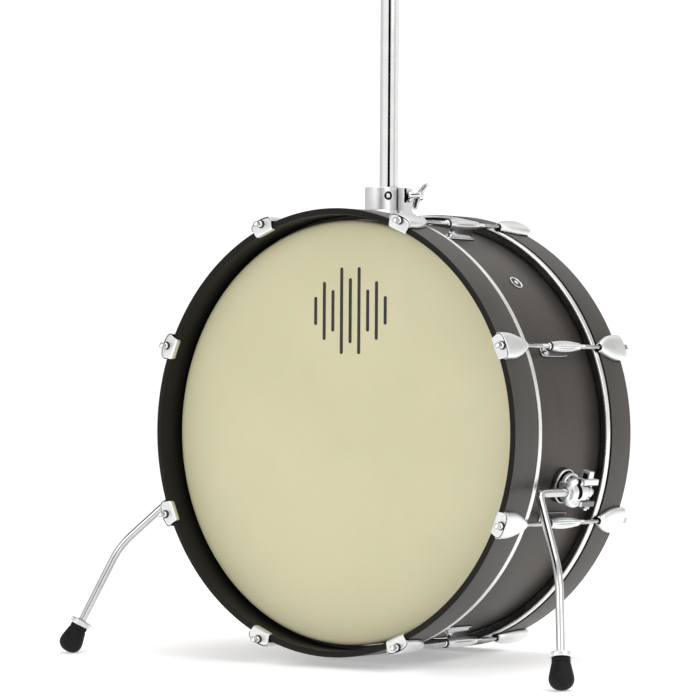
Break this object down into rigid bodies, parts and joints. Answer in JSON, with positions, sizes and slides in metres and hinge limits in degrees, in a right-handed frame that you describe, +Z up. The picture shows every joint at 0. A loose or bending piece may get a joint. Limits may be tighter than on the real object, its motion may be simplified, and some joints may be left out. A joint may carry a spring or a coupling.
{
  "type": "bass drum",
  "caption": "Shallow bass drum with a dark satin shell, black wood hoops, cream heads, claw hooks and tension rods, two bent spurs and a height-adjustable post in a top bracket.",
  "frame": {"origin": "centre of the bounding box on the floor the drum stands on", "axes": "+Z up, +Y from the front (resonant) head towards the rear (batter) head, +X to the right seen from the front; the drum leans back 3.06 degrees onto its rear hoop and both rubber feet"},
  "size_m": [0.7934, 0.3534, 0.8263],
  "materials": {
    "shell_lacquer": "satin dark warm-grey lacquer on a ply shell",
    "hoop_lacquer": "satin black lacquer on a bent wood hoop",
    "head_film": "coated cream film",
    "flesh_metal": "bright rolled metal",
    "bright_chrome": "polished",
    "satin_chrome": "satin die-cast",
    "foot_rubber": "moulded, matt"
  },
  "bodies": {
    "drum": {"front_claw_1": "satin_chrome", "front_claw_2": "satin_chrome", "front_claw_3": "satin_chrome", "front_claw_4": "satin_chrome", "front_claw_5": "satin_chrome", "front_claw_6": "satin_chrome", "front_claw_7": "satin_chrome", "front_claw_8": "satin_chrome", "front_flesh_hoop": "flesh_metal", "front_head": "head_film", "front_hoop": "hoop_lacquer", "front_tension_rod_1": "bright_chrome", "front_tension_rod_2": "bright_chrome", "front_tension_rod_3": "bright_chrome", "front_tension_rod_4": "bright_chrome", "front_tension_rod_5": "bright_chrome", "front_tension_rod_6": "bright_chrome", "front_tension_rod_7": "bright_chrome", "front_tension_rod_8": "bright_chrome", "lug_1": "satin_chrome", "lug_2": "satin_chrome", "lug_3": "satin_chrome", "lug_4": "satin_chrome", "lug_5": "satin_chrome", "lug_6": "satin_chrome", "lug_7": "satin_chrome", "lug_8": "satin_chrome", "post_bracket": "satin_chrome", "rear_claw_1": "satin_chrome", "rear_claw_2": "satin_chrome", "rear_claw_3": "satin_chrome", "rear_claw_4": "satin_chrome", "rear_claw_5": "satin_chrome", "rear_claw_6": "satin_chrome", "rear_claw_7": "satin_chrome", "rear_claw_8": "satin_chrome", "rear_flesh_hoop": "flesh_metal", "rear_head": "head_film", "rear_hoop": "hoop_lacquer", "rear_tension_rod_1": "bright_chrome", "rear_tension_rod_2": "bright_chrome", "rear_tension_rod_3": "bright_chrome", "rear_tension_rod_4": "bright_chrome", "rear_tension_rod_5": "bright_chrome", "rear_tension_rod_6": "bright_chrome", "rear_tension_rod_7": "bright_chrome", "rear_tension_rod_8": "bright_chrome", "shell": "shell_lacquer", "spur_base_left": "satin_chrome", "spur_base_right": "satin_chrome"},
    "post": {"post": "bright_chrome"},
    "post_wing_bolt": {"post_wing_bolt": "bright_chrome"},
    "spur_clamp_right": {"spur_clamp_right": "satin_chrome"},
    "spur_ring_right": {"spur_ring_right": "satin_chrome"},
    "spur_rod_right": {"spur_rod_right": "bright_chrome"},
    "spur_foot_right": {"spur_foot_right": "foot_rubber"},
    "spur_clamp_left": {"spur_clamp_left": "satin_chrome"},
    "spur_ring_left": {"spur_ring_left": "satin_chrome"},
    "spur_rod_left": {"spur_rod_left": "bright_chrome"},
    "spur_foot_left": {"spur_foot_left": "foot_rubber"}
  },
  "joints": [
    {"name": "post_height", "type": "slide", "parent": "drum", "child": "post", "axis": [0, 0.0534, 0.9986], "range_m": [-0.15, 0.1]},
    {"name": "post_wing_bolt_turn", "type": "hinge", "parent": "drum", "child": "post_wing_bolt", "pos_m": [0.06044, 0.03745, 0.55993], "axis": [1, 0, 0], "range_deg": [0, 720]},
    {"name": "spur_swivel_right", "type": "hinge", "parent": "drum", "child": "spur_clamp_right", "pos_m": [0.27312, 0.02567, 0.21219], "axis": [0.9724, -0.0125, -0.2331], "range_deg": [-30, 12]},
    {"name": "spur_swing_right", "type": "hinge", "parent": "spur_clamp_right", "child": "spur_ring_right", "pos_m": [0.29373, 0.0304, 0.20699], "axis": [0, 0.9986, -0.0534], "range_deg": [-100, 25]},
    {"name": "spur_reach_right", "type": "slide", "parent": "spur_ring_right", "child": "spur_rod_right", "axis": [0, 0.9986, -0.0534], "range_m": [-0.006, 0.042]},
    {"name": "spur_foot_travel_right", "type": "slide", "parent": "spur_rod_right", "child": "spur_foot_right", "axis": [0.2206, -0.3329, -0.9168], "range_m": [0, 0.01]},
    {"name": "spur_swivel_left", "type": "hinge", "parent": "drum", "child": "spur_clamp_left", "pos_m": [-0.24224, 0.02567, 0.21219], "axis": [-0.9724, -0.0125, -0.2331], "range_deg": [-12, 30]},
    {"name": "spur_swing_left", "type": "hinge", "parent": "spur_clamp_left", "child": "spur_ring_left", "pos_m": [-0.26285, 0.0304, 0.20699], "axis": [0, 0.9986, -0.0534], "range_deg": [-25, 100]},
    {"name": "spur_reach_left", "type": "slide", "parent": "spur_ring_left", "child": "spur_rod_left", "axis": [0, 0.9986, -0.0534], "range_m": [-0.05, 0]},
    {"name": "spur_foot_travel_left", "type": "slide", "parent": "spur_rod_left", "child": "spur_foot_left", "axis": [-0.3452, -0.3308, -0.8783], "range_m": [0, 0.01]}
  ]
}
